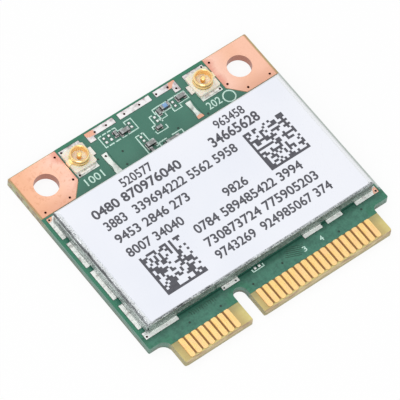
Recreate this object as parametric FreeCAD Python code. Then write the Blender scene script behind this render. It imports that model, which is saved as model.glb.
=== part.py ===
import FreeCAD, Part
import math
import os

from FreeCAD import Vector

# Half-size plug-in wireless network card, lying on its underside.
# +X runs along the contact edge, +Y from the contacts to the screw-hole edge, +Z is up.
# The origin is the middle of the board's outline, on the surface it lies on. Millimetres.

os.makedirs("parts", exist_ok=True)

# Board: a standard half-size card
board_width = 29.8
board_length = 26.65
board_t = 1.0
film_t = 0.04
board_corner_r = 0.15

# Contact tongues, the key notch between them and the shoulders beside them
shoulder_width = 2.05
tongue_length = 3.3
tongue_corner_r = 0.4
notch_x = -3.85
notch_width = 1.5
notch_depth = 3.85
notch_mouth_r = 0.25
shoulder_fillet_left = 1.0
shoulder_fillet_right = 0.5
bevel_length = 0.22
bevel_depth = 0.3

# Gold contacts
contact_pitch = 0.8
contact_width = 0.6
contact_length = 2.28
contact_root_chamfer = 0.12
contact_tip_chamfer = 0.16
contact_tip_gap = 0.03
contact_end_gap = 0.7
short_row_gap = 1.6
long_row_gap = 0.9

# Screw holes and the plated ground corners round them
hole_r = 1.3
hole_side_inset = 2.8
hole_inset = 2.75
plating_t = 0.04
corner_side_gap = 0.2
corner_back_gap = 0.08
corner_pad_length = 5.55
corner_pad_width_left = 5.54
corner_pad_width_right = 5.3
corner_chamfer_x = 1.5
corner_chamfer_y = 1.6
corner_via_inset = 0.4

# Green lacquer, tinned lands and plated through holes
mask_clearance = 0.05
tin_t = 0.03
via_r = 0.11
edge_inset = 0.23
edge_strip_width = 0.68
edge_leg_width = 0.72
edge_leg_reach_left = 0.5
edge_leg_reach_right = 0.65
edge_strip_gap = 0.56
edge_middle_x0 = -1.56
edge_middle_x1 = 2.42
edge_socket_gap_main = 2.09
edge_socket_gap_second = 2.18
side_strip_width_left = 0.72
side_strip_width_right = 0.7
side_strip_back_gap = 3.12
side_strip_front_gap = 0.1
side_strip_foot = 0.45

# Folded tin shield. Each gap under a wall is (place as a share of the wall, width)
shield_side_gap = 0.8
shield_front_gap = 4.725
shield_back_gap = 6.325
shield_height = 1.6
sheet_t = 0.2
bend_r = 0.25
corner_slit = 0.24
foot_height = 0.3
land_outside = 0.4
land_inside = 0.3
front_gaps = [(0.225, 5.5), (0.538, 8.15), (0.774, 0.65), (0.884, 1.75)]
back_gaps = [(0.197, 3.9), (0.521, 7.0), (0.803, 3.9)]
side_gaps = [(0.043, 0.55), (0.292, 0.8), (0.58, 0.6), (0.83, 0.6)]

# Paper label, glued to the top of the shield
label_side_margin = 0.55
label_end_margin = 0.25
label_t = 0.08

# Coaxial antenna sockets
socket_side_inset_main = 7.19
socket_side_inset_second = 7.11
socket_inset = 2.22
socket_base = 2.6
socket_base_t = 0.35
socket_base_chamfer = 0.12
socket_ring_r = 1.0
socket_ring_wall = 0.17
socket_mouth_flare = 0.06
socket_ring_rise = 0.82
socket_foot_r = 1.2
socket_groove_depth = 0.07
socket_groove_width = 0.2
socket_groove_drop = 0.28
socket_lip = 0.06
socket_plate_t = 0.1
socket_leg_width = 1.8
socket_leg_reach = 0.33
socket_tab_width = 0.6
socket_pin_r = 0.25
socket_pin_drop = 0.15
socket_tail_width = 1.0
socket_tail_reach = 0.46
socket_land_width = 2.5
socket_land_length = 1.0
socket_land_reach = 0.48

# Chip parts
large_length = 1.0
large_width = 0.5
large_height = 0.4
small_length = 0.62
small_width = 0.34
small_height = 0.3
filter_length = 1.6
filter_width = 0.8
filter_height = 0.5
slim_width = 0.5
slim_height = 0.45
coil_length = 2.5
coil_width = 2.0
coil_height = 1.1
chip_end_share = 0.25
chip_end_t = 0.02
chip_land_margin = 0.05
bare_land_size = 0.26
bare_land_spacing = 0.5

# Flat chips under the shield
flat_lead_t = 0.05
flat_lead_width = 0.24
flat_lead_length = 0.4
flat_lead_inset = 0.04
flat_lead_end_gap = 0.5
flat_corner_clip = 0.35

# Flat chips: sizes, pitch of their leads and the lands under their middles
radio_size = 7.0
radio_height = 0.85
radio_pitch = 0.55
radio_heat_size = 4.8
amplifier_size = 3.0
amplifier_height = 0.75
amplifier_pitch = 0.6
amplifier_heat_size = 1.6
memory_width = 3.0
memory_depth = 2.0
memory_height = 0.6
memory_pitch = 0.65
crystal_width = 3.2
crystal_depth = 2.5
crystal_base_t = 0.5
crystal_lid_t = 0.2
crystal_lid_inset = 0.2
crystal_pitch = 2.0

# Places under the shield, each from the wall that it is nearest to
radio_x = -1.0
radio_front_gap = 0.9
chip_row_gap = 0.55
amplifier_back_gap = 3.4
amplifier_side_gap_main = 5.5
amplifier_side_gap_second = 6.7
memory_front_gap = 2.6
memory_side_gap = 6.4
crystal_front_gap = 4.4
crystal_side_gap = 4.2
coil_front_gap = 1.95
coil_side_gap = 2.3
regulator_front_gap = 4.9
regulator_side_gap = 2.2
balun_back_gap = 1.6
balun_offset = 3.9
band_filter_offset = 3.2
loose_chip_gap = 2.35

# Heights and edges that follow from the sizes above
laminate_bottom = film_t
laminate_top = board_t - film_t
land_top = board_t + tin_t
shield_top = board_t + shield_height
chip_large = (large_length, large_width, large_height)
chip_small = (small_length, small_width, small_height)
chip_filter = (filter_length, filter_width, filter_height)
chip_slim = (filter_length, slim_width, slim_height)
chip_coil = (coil_length, coil_width, coil_height)
side_x = board_width / 2
tongue_x = side_x - shoulder_width
back_y = board_length / 2
front_y = -back_y
shoulder_y = front_y + tongue_length
hole_x = side_x - hole_side_inset
hole_y = back_y - hole_inset
socket_x_main = -side_x + socket_side_inset_main
socket_x_second = side_x - socket_side_inset_second
socket_y = back_y - socket_inset
contact_tip_y = front_y + bevel_length + contact_tip_gap
contact_root_y = contact_tip_y + contact_length
shield_side_x = side_x - shield_side_gap
shield_back_y = back_y - shield_back_gap
shield_front_y = front_y + shield_front_gap


def box(x0, x1, y0, y1, z0, z1):
    corner = Vector(min(x0, x1), min(y0, y1), z0)
    return Part.makeBox(abs(x1 - x0), abs(y1 - y0), z1 - z0, corner)


def post(x, y, radius, z0, z1):
    return Part.makeCylinder(radius, z1 - z0, Vector(x, y, z0))


def plate(corners, z0, z1):
    """Flat piece whose outline is a list of (x, y, radius) corners, each rounded by its radius."""
    starts = []
    mids = []
    ends = []
    count = len(corners)
    for index in range(count):
        x, y, radius = corners[index]
        here = Vector(x, y, z0)
        back = (Vector(*corners[index - 1][:2], z0) - here).normalize()
        ahead = (Vector(*corners[(index + 1) % count][:2], z0) - here).normalize()
        half_angle = back.getAngle(ahead) / 2
        reach = radius / math.tan(half_angle)
        drop = radius / math.sin(half_angle) - radius
        starts.append(here + back * reach)
        mids.append(here + (back + ahead).normalize() * drop)
        ends.append(here + ahead * reach)
    edges = []
    for index in range(count):
        if corners[index][2] > 0:
            edges.append(Part.Arc(starts[index], mids[index], ends[index]).toShape())
        following = starts[(index + 1) % count]
        if ends[index].distanceToPoint(following) > 1e-6:
            edges.append(Part.makeLine(ends[index], following))
    return Part.Face(Part.Wire(edges)).extrude(Vector(0, 0, z1 - z0))


def drilled(solid, places):
    """Plated through holes, open through the copper and the solder down to the laminate.
    They are so fine that eight sides draw them."""
    for x, y in places:
        turns = [math.pi * (index + 0.5) / 4 for index in range(8)]
        rim = [(x + via_r * math.cos(turn), y + via_r * math.sin(turn), 0) for turn in turns]
        solid = solid.cut(plate(rim, laminate_top, land_top))
    return solid


def save(name, solids):
    """One STEP file for each named piece, or for a group of like pieces."""
    group = Part.makeCompound(solids)
    for solid in group.Solids:
        if not solid.isValid() or not solid.isClosed():
            raise ValueError(name + " has a solid that is open or not valid")
    Part.makeCompound(group.Solids).exportStep("parts/" + name + ".step")


# Circuit board: glass-epoxy laminate, routed to its outline, drilled and bevelled
notch_left = notch_x - notch_width / 2
notch_right = notch_x + notch_width / 2


def board_outline():
    notch_end_y = front_y + notch_depth
    notch_end_r = notch_width / 2 - 0.001
    return [
        (-tongue_x, front_y, tongue_corner_r),
        (notch_left, front_y, notch_mouth_r),
        (notch_left, notch_end_y, notch_end_r),
        (notch_right, notch_end_y, notch_end_r),
        (notch_right, front_y, notch_mouth_r),
        (tongue_x, front_y, tongue_corner_r),
        (tongue_x, shoulder_y, shoulder_fillet_right),
        (side_x, shoulder_y, board_corner_r),
        (side_x, back_y, board_corner_r),
        (-side_x, back_y, board_corner_r),
        (-side_x, shoulder_y, board_corner_r),
        (-tongue_x, shoulder_y, shoulder_fillet_left),
    ]


def bevel_wedge(face_z, tip_z):
    """What the bevel takes off the contact edge, from tip_z at the tip to face_z at full length."""
    rise = face_z - tip_z
    corners = [
        Vector(-side_x, front_y - bevel_length, tip_z - rise),
        Vector(-side_x, front_y + bevel_length, face_z),
        Vector(-side_x, front_y - bevel_length, face_z),
    ]
    side = Part.Face(Part.makePolygon(corners + corners[:1]))
    return side.extrude(Vector(board_width, 0, 0))


laminate = plate(board_outline(), laminate_bottom, laminate_top)
for side in (-1, 1):
    laminate = laminate.cut(post(side * hole_x, hole_y, hole_r + plating_t, 0, board_t))
laminate = laminate.cut(bevel_wedge(board_t, board_t - bevel_depth))
laminate = laminate.cut(bevel_wedge(0, bevel_depth))
save("circuit_board", [laminate])


# Contacts: rows either side of the notch, the lower rows half a pitch along from the upper ones
def contact_row(first_x, count, z0, z1):
    """Fingers with clipped tips and roots, set out from first_x along +X."""
    tip_y = contact_tip_y
    root_y = contact_root_y
    half = contact_width / 2
    tip = contact_tip_chamfer
    root = contact_root_chamfer
    fingers = []
    for index in range(count):
        x = first_x + index * contact_pitch
        fingers.append(plate([
            (x - half + tip, tip_y, 0),
            (x + half - tip, tip_y, 0),
            (x + half, tip_y + tip, 0),
            (x + half, root_y - root, 0),
            (x + half - root, root_y, 0),
            (x - half + root, root_y, 0),
            (x - half, root_y - root, 0),
            (x - half, tip_y + tip, 0),
        ], z0, z1))
    return fingers


# Each row has as many fingers as fit between the notch and the end of the tongue
stagger = contact_pitch / 2
last_short_x = notch_left - short_row_gap
long_x = notch_right + long_row_gap
short_room = last_short_x - contact_end_gap + tongue_x
long_room = tongue_x - contact_end_gap - long_x
short_row_count = int(short_room / contact_pitch) + 1
long_row_count = int(long_room / contact_pitch) + 1
short_x = last_short_x - (short_row_count - 1) * contact_pitch
save("contacts_top_short", contact_row(short_x, short_row_count, laminate_top, board_t))
save("contacts_top_long", contact_row(long_x, long_row_count, laminate_top, board_t))
save("contacts_bottom_short",
     contact_row(short_x + stagger, short_row_count, 0, laminate_bottom))
save("contacts_bottom_long",
     contact_row(long_x + stagger, long_row_count, 0, laminate_bottom))


# Ground corners: foil on both faces and the plated wall of the screw hole, one piece of copper
def corner_outline(side, grow=0.0, beyond=0.0):
    """Outline of a corner's foil, or of the lacquer's opening round it when it grows."""
    width = corner_pad_width_left if side < 0 else corner_pad_width_right
    outer = side * (side_x - corner_side_gap)
    inner = outer - side * (width + grow)
    top = back_y - corner_back_gap
    bottom = top - corner_pad_length - grow
    return [
        (outer + side * beyond, top + beyond, board_corner_r),
        (inner, top + beyond, 0),
        (inner, bottom + corner_chamfer_y, 0),
        (inner + side * corner_chamfer_x, bottom, 0),
        (outer + side * beyond, bottom, 0),
    ]


def corner_vias(side):
    """Two holes along the corner's inner side and two along its front."""
    outline = corner_outline(side)
    outer = outline[0][0]
    top = outline[0][1]
    inner, chamfer_y = outline[2][:2]
    chamfer_x, bottom = outline[3][:2]
    return [
        (inner + side * corner_via_inset, top - corner_via_inset * 1.5),
        (inner + side * corner_via_inset, chamfer_y + corner_via_inset * 0.7),
        (chamfer_x + side * corner_via_inset, bottom + corner_via_inset),
        (outer - side * corner_via_inset * 1.6, bottom + corner_via_inset),
    ]


def ground_corner(side):
    x = side * hole_x
    outline = corner_outline(side)
    copper = plate(outline, laminate_top, board_t)
    copper = copper.fuse(plate(outline, 0, laminate_bottom))
    copper = copper.fuse(post(x, hole_y, hole_r + plating_t, 0, board_t)).removeSplitter()
    copper = copper.cut(post(x, hole_y, hole_r, 0, board_t))
    return drilled(copper, corner_vias(side))


save("ground_pad_left", [ground_corner(-1)])
save("ground_pad_right", [ground_corner(1)])


# Tinned lands: copper foil under a skin of solder. The lacquer opens round each of them
openings = []


def land(x0, x1, y0, y1, vias=()):
    openings.append((x0, x1, y0, y1))
    return drilled(box(x0, x1, y0, y1, laminate_top, land_top), vias)


edge_y1 = back_y - edge_inset
edge_y0 = edge_y1 - edge_strip_width
edge_via_y = edge_y0 + 0.3
left_x = socket_x_main + edge_socket_gap_main
left_end_x = edge_middle_x0 - edge_strip_gap
right_x = socket_x_second - edge_socket_gap_second
right_end_x = edge_middle_x1 + edge_strip_gap
left_leg = land(left_x, left_x + edge_leg_width, edge_y0 - edge_leg_reach_left, edge_y1)
left_strip = land(left_x, left_end_x, edge_y0, edge_y1)
right_leg = land(right_x - edge_leg_width, right_x, edge_y0 - edge_leg_reach_right, edge_y1)
right_strip = land(right_end_x, right_x, edge_y0, edge_y1)
save("edge_pad_left", [drilled(left_strip.fuse(left_leg).removeSplitter(), [
    (left_x + 1.08, edge_via_y),
    (left_end_x - 1.02, edge_via_y),
])])
save("edge_pad_middle", [land(edge_middle_x0, edge_middle_x1, edge_y0, edge_y1, [
    (edge_middle_x0 + 0.7, edge_via_y),
    (edge_middle_x1 - 1.4, edge_via_y),
])])
save("edge_pad_right", [drilled(right_strip.fuse(right_leg).removeSplitter(), [
    (right_end_x + 0.18, edge_via_y),
    (right_x - 1.02, edge_via_y),
    (right_x - 0.36, edge_y0 - 0.3),
])])

strip_end_y = back_y - side_strip_back_gap
strip_front_y = shield_back_y + land_outside + side_strip_front_gap
save("side_strip_left", [land(left_x, left_x + side_strip_width_left, strip_front_y, strip_end_y,
                              [(left_x + 0.3, strip_end_y - 0.36)])])
save("side_strip_right", [land(right_x - side_strip_width_right, right_x,
                               strip_front_y + side_strip_foot, strip_end_y)])


# Shield: the feet are the stretches of each wall between its gaps, each soldered to a land
def feet(start, length, gaps):
    ends = [start]
    for share, width in gaps:
        middle = start + share * length
        ends.extend([middle - width / 2, middle + width / 2])
    ends.append(start + length)
    return [(ends[index], ends[index + 1]) for index in range(0, len(ends), 2)]


front_feet = feet(-shield_side_x, 2 * shield_side_x, front_gaps)
back_feet = feet(-shield_side_x, 2 * shield_side_x, back_gaps)
side_feet = feet(shield_front_y, shield_back_y - shield_front_y, side_gaps)


def across_land(foot, wall_y, outward, vias=()):
    """Land of a foot of the front or back wall."""
    return land(foot[0], foot[1], wall_y - outward * land_inside, wall_y + outward * land_outside,
                vias)


def along_land(foot, side):
    """Land of a foot of the left or right wall."""
    wall_x = side * shield_side_x
    return land(wall_x - side * land_inside, wall_x + side * land_outside, foot[0], foot[1])


def corner_land(side, outward, across_foot, side_foot):
    """Land that runs round a corner of the shield, with a plated hole at its outer corner."""
    wall_y = shield_back_y if outward > 0 else shield_front_y
    inner_x = across_foot[1] if side < 0 else across_foot[0]
    inner_y = side_foot[0] if outward > 0 else side_foot[1]
    outer_x = side * (shield_side_x + land_outside)
    outer_y = wall_y + outward * land_outside
    across = land(inner_x, outer_x, wall_y - outward * land_inside, outer_y)
    along = land(outer_x, side * (shield_side_x - land_inside), inner_y, outer_y)
    via = (outer_x - side * 2 * via_r, outer_y - outward * 2 * via_r)
    return drilled(across.fuse(along).removeSplitter(), [via])


front_via_y = shield_front_y - land_outside / 2
front_lands = [across_land(front_feet[1], shield_front_y, -1,
                           [(front_feet[1][0] + 0.2, front_via_y),
                            (front_feet[1][1] - 0.35, front_via_y)])]
front_lands += [across_land(foot, shield_front_y, -1) for foot in front_feet[2:-1]]
front_lands += [corner_land(-1, -1, front_feet[0], side_feet[0]),
                corner_land(1, -1, front_feet[-1], side_feet[0])]
back_lands = [across_land(foot, shield_back_y, 1) for foot in back_feet[1:-1]]
back_lands += [corner_land(-1, 1, back_feet[0], side_feet[-1]),
               corner_land(1, 1, back_feet[-1], side_feet[-1])]
save("shield_pads_front", front_lands)
save("shield_pads_back", back_lands)
save("shield_pads_left", [along_land(foot, -1) for foot in side_feet[1:-1]])
save("shield_pads_right", [along_land(foot, 1) for foot in side_feet[1:-1]])


def folded_shield():
    """Tin sheet folded down on four sides, open at its corners and raised between its feet."""
    x = shield_side_x
    y0 = shield_front_y
    y1 = shield_back_y
    outer = box(-x, x, y0, y1, land_top, shield_top)
    top_edges = [edge for edge in outer.Edges
                 if all(abs(vertex.Z - shield_top) < 1e-6 for vertex in edge.Vertexes)]
    outer = outer.makeFillet(bend_r, top_edges)
    room = box(-x + sheet_t, x - sheet_t, y0 + sheet_t, y1 - sheet_t, land_top, shield_top - sheet_t)
    room_edges = [edge for edge in room.Edges
                  if all(abs(vertex.Z - shield_top + sheet_t) < 1e-6 for vertex in edge.Vertexes)]
    shell = outer.cut(room.makeFillet(bend_r - sheet_t, room_edges))
    cuts = []
    for side in (-1, 1):
        for wall_y, outward in ((y0, -1), (y1, 1)):
            cuts.append(box(side * x, side * (x - corner_slit), wall_y,
                            wall_y - outward * corner_slit, land_top, shield_top - bend_r))
    gap_top = land_top + foot_height
    for wall_y, outward, stands in ((y0, -1, front_feet), (y1, 1, back_feet)):
        for before, after in zip(stands, stands[1:]):
            cuts.append(box(before[1], after[0], wall_y, wall_y - outward * sheet_t,
                            land_top, gap_top))
    for side in (-1, 1):
        for before, after in zip(side_feet, side_feet[1:]):
            cuts.append(box(side * x, side * (x - sheet_t), before[1], after[0],
                            land_top, gap_top))
    for piece in cuts:
        shell = shell.cut(piece)
    return shell


save("shield_can", [folded_shield()])

label_x = shield_side_x - label_side_margin
save("label", [box(-label_x, label_x, shield_front_y + label_end_margin,
                   shield_back_y - label_end_margin, shield_top, shield_top + label_t)])


# Antenna sockets: each faces its signal tail towards the middle of the board
def antenna_socket(x, y, inward):
    """Base, shell and pin of one socket. inward is +1 or -1, the side that the tail leaves by."""
    half = socket_base / 2
    base_top = land_top + socket_base_t
    plate_top = land_top + socket_plate_t
    ring_top = base_top + socket_ring_rise
    ring_in_r = socket_ring_r - socket_ring_wall
    groove_top = ring_top - socket_groove_drop
    groove_bottom = groove_top - socket_groove_width
    profile = [
        (ring_in_r, plate_top),
        (socket_foot_r, plate_top),
        (socket_ring_r, base_top + socket_plate_t),
        (socket_ring_r, groove_bottom),
        (socket_ring_r - socket_groove_depth, (groove_bottom + groove_top) / 2),
        (socket_ring_r, groove_top),
        (socket_ring_r, ring_top - socket_lip),
        (socket_ring_r - socket_lip, ring_top),
        (ring_in_r + socket_mouth_flare, ring_top),
        (ring_in_r, ring_top - socket_mouth_flare),
    ]
    points = [Vector(radius, 0, z) for radius, z in profile]
    section = Part.Face(Part.makePolygon(points + points[:1]))
    shell = section.revolve(Vector(0, 0, 0), Vector(0, 0, 1), 360)
    half_leg = socket_leg_width / 2
    for side in (-1, 1):
        shell = shell.fuse(box(-half_leg, half_leg, side * (ring_in_r - 0.1),
                               side * (half + socket_leg_reach), land_top, plate_top))
    half_tab = socket_tab_width / 2
    tab_x = -inward * (half + socket_plate_t)
    tab_root_x = -inward * (socket_ring_r - socket_ring_wall / 2)
    shell = shell.fuse(box(tab_root_x, tab_x, -half_tab, half_tab,
                           base_top, base_top + socket_plate_t))
    shell = shell.fuse(box(-inward * half, tab_x, -half_tab, half_tab, land_top, base_top))
    shell = shell.removeSplitter()

    pin_top = ring_top - socket_pin_drop
    half_tail = socket_tail_width / 2
    pin = post(0, 0, socket_pin_r, land_top, pin_top)
    crown = [edge for edge in pin.Edges if abs(edge.CenterOfMass.z - pin_top) < 1e-6]
    pin = pin.makeChamfer(socket_lip, crown)
    pin = pin.fuse(box(0, inward * half, -socket_pin_r, socket_pin_r, land_top, plate_top))
    pin = pin.fuse(box(inward * half, inward * (half + socket_tail_reach), -half_tail, half_tail,
                       land_top, plate_top))
    pin = pin.removeSplitter()

    clip = socket_base_chamfer
    base = plate([
        (-half + clip, -half, 0),
        (half - clip, -half, 0),
        (half, -half + clip, 0),
        (half, half - clip, 0),
        (half - clip, half, 0),
        (-half + clip, half, 0),
        (-half, half - clip, 0),
        (-half, -half + clip, 0),
    ], land_top, base_top)
    base = base.cut(shell).cut(pin)
    place = Vector(x, y, 0)
    return [piece.translated(place) for piece in (base, shell, pin)]


def antenna_lands(x, y, inward):
    """Two ground lands and the signal land under one socket."""
    half = socket_base / 2
    half_land = socket_land_width / 2
    lands = []
    for side in (-1, 1):
        outer_y = y + side * (half + socket_land_reach)
        via_x = x - inward * (half_land - 2 * via_r)
        via_y = outer_y - side * 2 * via_r
        lands.append(land(x - half_land, x + half_land, outer_y - side * socket_land_length, outer_y,
                          [(via_x, via_y)]))
    outer_x = x + inward * (half + socket_tail_reach)
    half_tail = socket_tail_width / 2
    lands.append(land(outer_x - inward * socket_land_length, outer_x,
                      y - half_tail, y + half_tail))
    return lands


for socket_name, socket_x, inward in (("main", socket_x_main, 1), ("second", socket_x_second, -1)):
    socket_parts = antenna_socket(socket_x, socket_y, inward)
    for part_name, part in zip(("base", "shell", "pin"), socket_parts):
        save("antenna_socket_" + socket_name + "_" + part_name, [part])
    save("antenna_pads_" + socket_name, antenna_lands(socket_x, socket_y, inward))


# Chip parts: a ceramic or ferrite body between two plated end caps
def chip(size, x, y, lengthwise, seat):
    """Body and end caps at (x, y), long along X if lengthwise. The caps stand on the height seat."""
    length, width, height = size
    top = land_top + height
    inner = length / 2 - length * chip_end_share
    slim = width / 2 - chip_end_t
    if lengthwise:
        body = box(x - inner, x + inner, y - slim, y + slim, land_top, top - chip_end_t)
        caps = [box(x + side * inner, x + side * length / 2, y - width / 2, y + width / 2, seat, top)
                for side in (-1, 1)]
    else:
        body = box(x - slim, x + slim, y - inner, y + inner, land_top, top - chip_end_t)
        caps = [box(x - width / 2, x + width / 2, y + side * inner, y + side * length / 2, seat, top)
                for side in (-1, 1)]
    return body, caps


def chip_lands(size, x, y, lengthwise):
    """The two lands under a chip part, a little larger than its end caps."""
    length, width, height = size
    reach = length / 2 + chip_land_margin
    inner = length / 2 - length * chip_end_share
    half = width / 2 + chip_land_margin
    lands = []
    for side in (-1, 1):
        if lengthwise:
            lands.append(land(x + side * inner, x + side * reach, y - half, y + half))
        else:
            lands.append(land(x - half, x + half, y + side * inner, y + side * reach))
    return lands


def bare_pair(x, y, lengthwise=False):
    """Two small lands where no part is fitted."""
    half = bare_land_size / 2
    offset = bare_land_spacing / 2
    pair = []
    for side in (-1, 1):
        pad_x = x + side * offset if lengthwise else x
        pad_y = y if lengthwise else y + side * offset
        pair.append(land(pad_x - half, pad_x + half, pad_y - half, pad_y + half))
    return pair


def chip_group(places, seat):
    """Bodies, end caps and lands of the chips at places, each (size, x, y, lengthwise)."""
    bodies = []
    caps = []
    for size, x, y, lengthwise in places:
        core, ends = chip(size, x, y, lengthwise, seat)
        bodies.append(core)
        caps.extend(ends)
    return bodies, caps


row_y = back_y - 2.29
outer_capacitors = [
    (chip_small, -3.0, row_y + 0.26, False),
    (chip_large, -2.08, row_y, True),
    (chip_small, 2.08, row_y - 0.2, False),
    (chip_large, 4.97, row_y, True),
    (chip_small, 1.05, row_y - 1.62, True),
    (chip_large, -0.8, row_y - 2.67, True),
    (chip_small, -1.12, row_y - 3.36, False),
]
outer_inductor = (chip_large, 2.95, row_y, True)
outer_filter = (chip_slim, 1.3, row_y - 3.61, True)
bare_pairs = [
    (-4.26, row_y + 0.29),
    (-3.65, row_y + 0.29),
    (-1.13, row_y + 0.31),
    (3.95, row_y - 0.24),
    (1.4, row_y - 0.62),
    (-1.1, row_y - 1.7),
]

capacitor_bodies, capacitor_ends = chip_group(outer_capacitors, land_top)
inductor_bodies, inductor_ends = chip_group([outer_inductor], land_top)
filter_bodies, filter_ends = chip_group([outer_filter], land_top)
save("capacitor_bodies", capacitor_bodies)
save("capacitor_ends", capacitor_ends)
save("inductor_body", inductor_bodies)
save("inductor_ends", inductor_ends)
save("antenna_filter_body", filter_bodies)
save("antenna_filter_ends", filter_ends)

part_lands = []
for place in outer_capacitors + [outer_inductor, outer_filter]:
    part_lands.extend(chip_lands(*place))
for x, y in bare_pairs:
    part_lands.extend(bare_pair(x, y))
save("chip_lands", part_lands)


# Parts under the shield. Each lead or end cap is one piece with the land that it is soldered to
def flat_chip(x, y, width, depth, height, pitch, four_sided):
    """Moulded body with a clipped first corner, and as many leads as fit along the front and back,
    and along the sides too if it is four-sided."""
    across = int((width - 2 * flat_lead_end_gap) / pitch) + 1
    along = int((depth - 2 * flat_lead_end_gap) / pitch) + 1 if four_sided else 0
    lead_top = land_top + flat_lead_t
    top = lead_top + height
    half_x = width / 2
    half_y = depth / 2
    body = plate([
        (x - half_x, y - half_y, 0),
        (x + half_x, y - half_y, 0),
        (x + half_x, y + half_y, 0),
        (x - half_x + flat_corner_clip, y + half_y, 0),
        (x - half_x, y + half_y - flat_corner_clip, 0),
    ], lead_top, top)
    half_lead = flat_lead_width / 2
    leads = []
    for side in (-1, 1):
        outer_y = y + side * (half_y + flat_lead_inset)
        inner_y = outer_y - side * flat_lead_length
        outer_x = x + side * (half_x + flat_lead_inset)
        inner_x = outer_x - side * flat_lead_length
        for index in range(across):
            lead_x = x + (index - (across - 1) / 2) * pitch
            leads.append(box(lead_x - half_lead, lead_x + half_lead, outer_y, inner_y,
                             laminate_top, lead_top))
        for index in range(along):
            lead_y = y + (index - (along - 1) / 2) * pitch
            leads.append(box(outer_x, inner_x, lead_y - half_lead, lead_y + half_lead,
                             laminate_top, lead_top))
        across_half = (across - 1) / 2 * pitch + half_lead
        openings.append((x - across_half, x + across_half, outer_y, inner_y))
        if four_sided:
            along_half = (along - 1) / 2 * pitch + half_lead
            openings.append((outer_x, inner_x, y - along_half, y + along_half))
    return body, leads


def heat_land(x, y, width, depth):
    """Land under the middle of a chip, which takes its heat into the board."""
    openings.append((x - width / 2, x + width / 2, y - depth / 2, y + depth / 2))
    return box(x - width / 2, x + width / 2, y - depth / 2, y + depth / 2,
               laminate_top, land_top + flat_lead_t)


radio_y = shield_front_y + radio_front_gap + radio_size / 2
radio_body, radio_leads = flat_chip(radio_x, radio_y, radio_size, radio_size, radio_height,
                                    radio_pitch, True)
save("radio_chip_body", [radio_body])
save("radio_chip_leads", radio_leads)
save("radio_chip_heat_land", [heat_land(radio_x, radio_y, radio_heat_size, radio_heat_size)])

amplifier_y = shield_back_y - amplifier_back_gap
amplifier_x_main = -shield_side_x + amplifier_side_gap_main
amplifier_x_second = shield_side_x - amplifier_side_gap_second
for amplifier_name, amplifier_x in (("main", amplifier_x_main), ("second", amplifier_x_second)):
    body, leads = flat_chip(amplifier_x, amplifier_y, amplifier_size, amplifier_size,
                            amplifier_height, amplifier_pitch, True)
    leads.append(heat_land(amplifier_x, amplifier_y, amplifier_heat_size, amplifier_heat_size))
    save("amplifier_" + amplifier_name + "_body", [body])
    save("amplifier_" + amplifier_name + "_leads", leads)

memory_x = shield_side_x - memory_side_gap
memory_y = shield_front_y + memory_front_gap
memory_body, memory_leads = flat_chip(memory_x, memory_y, memory_width, memory_depth,
                                      memory_height, memory_pitch, False)
save("memory_chip_body", [memory_body])
save("memory_chip_leads", memory_leads)

crystal_x = -shield_side_x + crystal_side_gap
crystal_y = shield_front_y + crystal_front_gap
crystal_base, crystal_leads = flat_chip(crystal_x, crystal_y, crystal_width, crystal_depth,
                                        crystal_base_t, crystal_pitch, False)
crystal_lid_z = land_top + flat_lead_t + crystal_base_t
lid_x = crystal_width / 2 - crystal_lid_inset
lid_y = crystal_depth / 2 - crystal_lid_inset
save("crystal_base", [crystal_base])
save("crystal_leads", crystal_leads)
save("crystal_lid", [box(crystal_x - lid_x, crystal_x + lid_x, crystal_y - lid_y,
                         crystal_y + lid_y, crystal_lid_z, crystal_lid_z + crystal_lid_t)])


def regulator(x, y):
    """Small moulded regulator with three bent leads at the front and two at the back."""
    body_half_x = 1.45
    body_half_y = 0.8
    body_bottom = land_top + 0.1
    body_top = land_top + 1.1
    lead_half = 0.2
    lead_z = body_bottom + 0.45
    lead_t = 0.12
    reach = 0.6
    shin = 0.3
    body = box(x - body_half_x, x + body_half_x, y - body_half_y, y + body_half_y,
               body_bottom, body_top)
    leads = []
    for side, offsets in ((-1, (-0.95, 0, 0.95)), (1, (-0.95, 0.95))):
        root = y + side * body_half_y
        bend = root + side * shin
        tip = root + side * reach
        section = [
            (root, lead_z),
            (bend, lead_z),
            (bend, laminate_top),
            (tip, laminate_top),
            (tip, land_top + lead_t),
            (bend + side * lead_t, land_top + lead_t),
            (bend + side * lead_t, lead_z + lead_t),
            (root, lead_z + lead_t),
        ]
        for offset in offsets:
            points = [Vector(x + offset - lead_half, lead_y, z) for lead_y, z in section]
            profile = Part.Face(Part.makePolygon(points + points[:1]))
            leads.append(profile.extrude(Vector(2 * lead_half, 0, 0)))
            openings.append((x + offset - lead_half, x + offset + lead_half, bend, tip))
    return body, leads


regulator_x = shield_side_x - regulator_side_gap
regulator_y = shield_front_y + regulator_front_gap
regulator_body, regulator_leads = regulator(regulator_x, regulator_y)
save("regulator_body", [regulator_body])
save("regulator_leads", regulator_leads)


def inner_chips(name, places):
    """Bodies in one file and end caps in another, with one opening in the lacquer for each part."""
    bodies, caps = chip_group(places, laminate_top)
    for first, last in zip(caps[::2], caps[1::2]):
        low = first.BoundBox
        high = last.BoundBox
        openings.append((low.XMin, high.XMax, low.YMin, high.YMax))
    save(name + "_body" if len(bodies) == 1 else name + "_bodies", bodies)
    save(name + "_ends", caps)


coil_x = shield_side_x - coil_side_gap
coil_y = shield_front_y + coil_front_gap
balun_y = shield_back_y - balun_back_gap
inner_chips("power_coil", [(chip_coil, coil_x, coil_y, False)])
inner_chips("balun", [(chip_filter, amplifier_x_main + balun_offset, balun_y, True),
                      (chip_filter, amplifier_x_second - balun_offset, balun_y, True)])
inner_chips("band_filter", [(chip_filter, amplifier_x_main - band_filter_offset, amplifier_y, False),
                            (chip_filter, amplifier_x_second + band_filter_offset, amplifier_y, False)])

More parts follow.
